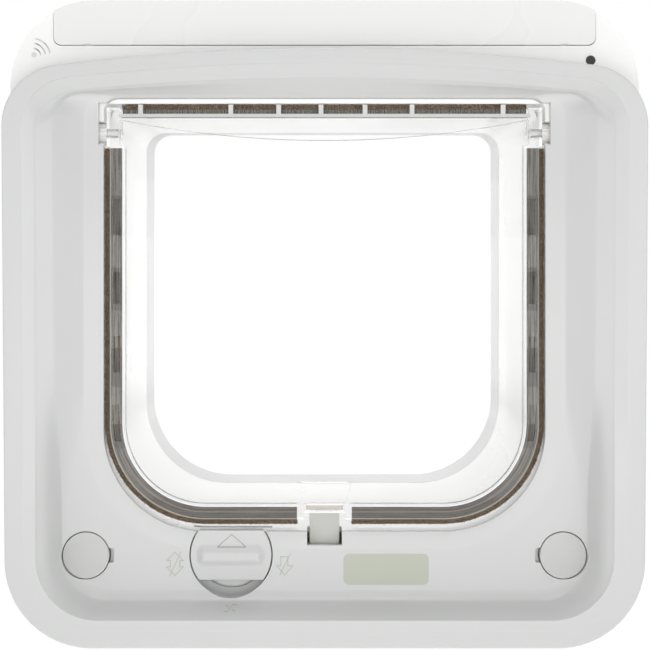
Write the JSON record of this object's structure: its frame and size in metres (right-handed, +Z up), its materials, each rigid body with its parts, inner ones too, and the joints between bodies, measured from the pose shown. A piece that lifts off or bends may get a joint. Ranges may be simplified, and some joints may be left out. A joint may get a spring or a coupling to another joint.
{
  "type": "cat flap",
  "caption": "Cat flap with dished inner frame, tunnel, clear top-hung door with pile seals, motor latch, lock knob, battery cover and outer frame.",
  "frame": {"origin": "middle of the tunnel, on the plane that lies against the house door", "axes": "+X to the right seen from the room, +Y out through the house door, +Z up"},
  "size_m": [0.2106, 0.124, 0.2146],
  "materials": {
    "white_abs": "satin moulded ABS, white",
    "clear_acrylic": "clear polished plastic",
    "seal_pile": "dense brown-grey pile",
    "grey_acetal": "satin grey",
    "natural_nylon": "matt natural",
    "zinc_steel": "bright zinc plated",
    "nickel_strip": "nickel plated",
    "magnet_nickel": "nickel plated magnet",
    "copper_wire": "enamelled copper",
    "circuit_green": "solder mask",
    "cell_jacket": "printed film sleeve, plain",
    "lamp_lens": "smoked lens"
  },
  "bodies": {
    "root": {"front_bezel": "white_abs", "rear_casing": "white_abs", "exterior_frame": "white_abs", "battery_cell_left_lower": "cell_jacket", "battery_cell_left_upper": "cell_jacket", "battery_cell_right_lower": "cell_jacket", "battery_cell_right_upper": "cell_jacket", "battery_contacts": "nickel_strip", "battery_springs": "nickel_strip", "settings_switch": "grey_acetal", "circuit_board": "circuit_green", "led_window": "lamp_lens", "antenna_coil": "copper_wire", "frame_screws": "zinc_steel", "casing_screws": "zinc_steel", "sill_magnet": "magnet_nickel", "hinge_pin_left": "natural_nylon", "hinge_pin_right": "natural_nylon", "hinge_bush_left": "natural_nylon", "hinge_bush_right": "natural_nylon", "latch_motor": "zinc_steel", "motor_cradle": "white_abs", "latch_guide": "white_abs"},
    "door": {"door_panel": "clear_acrylic", "door_seal_left": "seal_pile", "door_seal_right": "seal_pile", "door_seal_top": "seal_pile", "top_seal_rail": "clear_acrylic", "door_magnet": "magnet_nickel"},
    "latch": {"latch_bolt": "grey_acetal"},
    "pinion": {"latch_pinion": "natural_nylon"},
    "knob": {"lock_knob": "white_abs", "lock_cam": "grey_acetal"},
    "cover": {"battery_cover": "white_abs"},
    "button": {"settings_button": "grey_acetal"},
    "cap_left": {"screw_cap_left": "white_abs"},
    "cap_right": {"screw_cap_right": "white_abs"}
  },
  "joints": [
    {"name": "door_swing", "type": "hinge", "parent": "root", "child": "door", "pos_m": [0, -0.0102, 0.0618], "axis": [1, 0, 0], "range_deg": [0, 80]},
    {"name": "latch_drop", "type": "slide", "parent": "root", "child": "latch", "axis": [0, 0, -1], "range_m": [0, 0.007]},
    {"name": "pinion_turn", "type": "hinge", "parent": "root", "child": "pinion", "pos_m": [0.0109, -0.0122, -0.09], "axis": [0, -1, 0], "range_deg": [0, 84]},
    {"name": "lock_turn", "type": "hinge", "parent": "root", "child": "knob", "pos_m": [-0.0316, -0.015, -0.0815], "axis": [0, 1, 0], "range_deg": [-90, 180]},
    {"name": "cover_lift", "type": "slide", "parent": "root", "child": "cover", "axis": [0, -1, 0], "range_m": [0, 0.04]},
    {"name": "settings_press", "type": "slide", "parent": "root", "child": "button", "axis": [0, 1, 0], "range_m": [0, 0.0012], "stiffness_N_per_m": 400},
    {"name": "cap_left_pull", "type": "slide", "parent": "root", "child": "cap_left", "axis": [0, -1, 0], "range_m": [0, 0.015]},
    {"name": "cap_right_pull", "type": "slide", "parent": "root", "child": "cap_right", "axis": [0, -1, 0], "range_m": [0, 0.015]}
  ],
  "couplings": [
    {"joint": "pinion_turn", "follows": "latch_drop", "rad_per_m": 208.33}
  ]
}
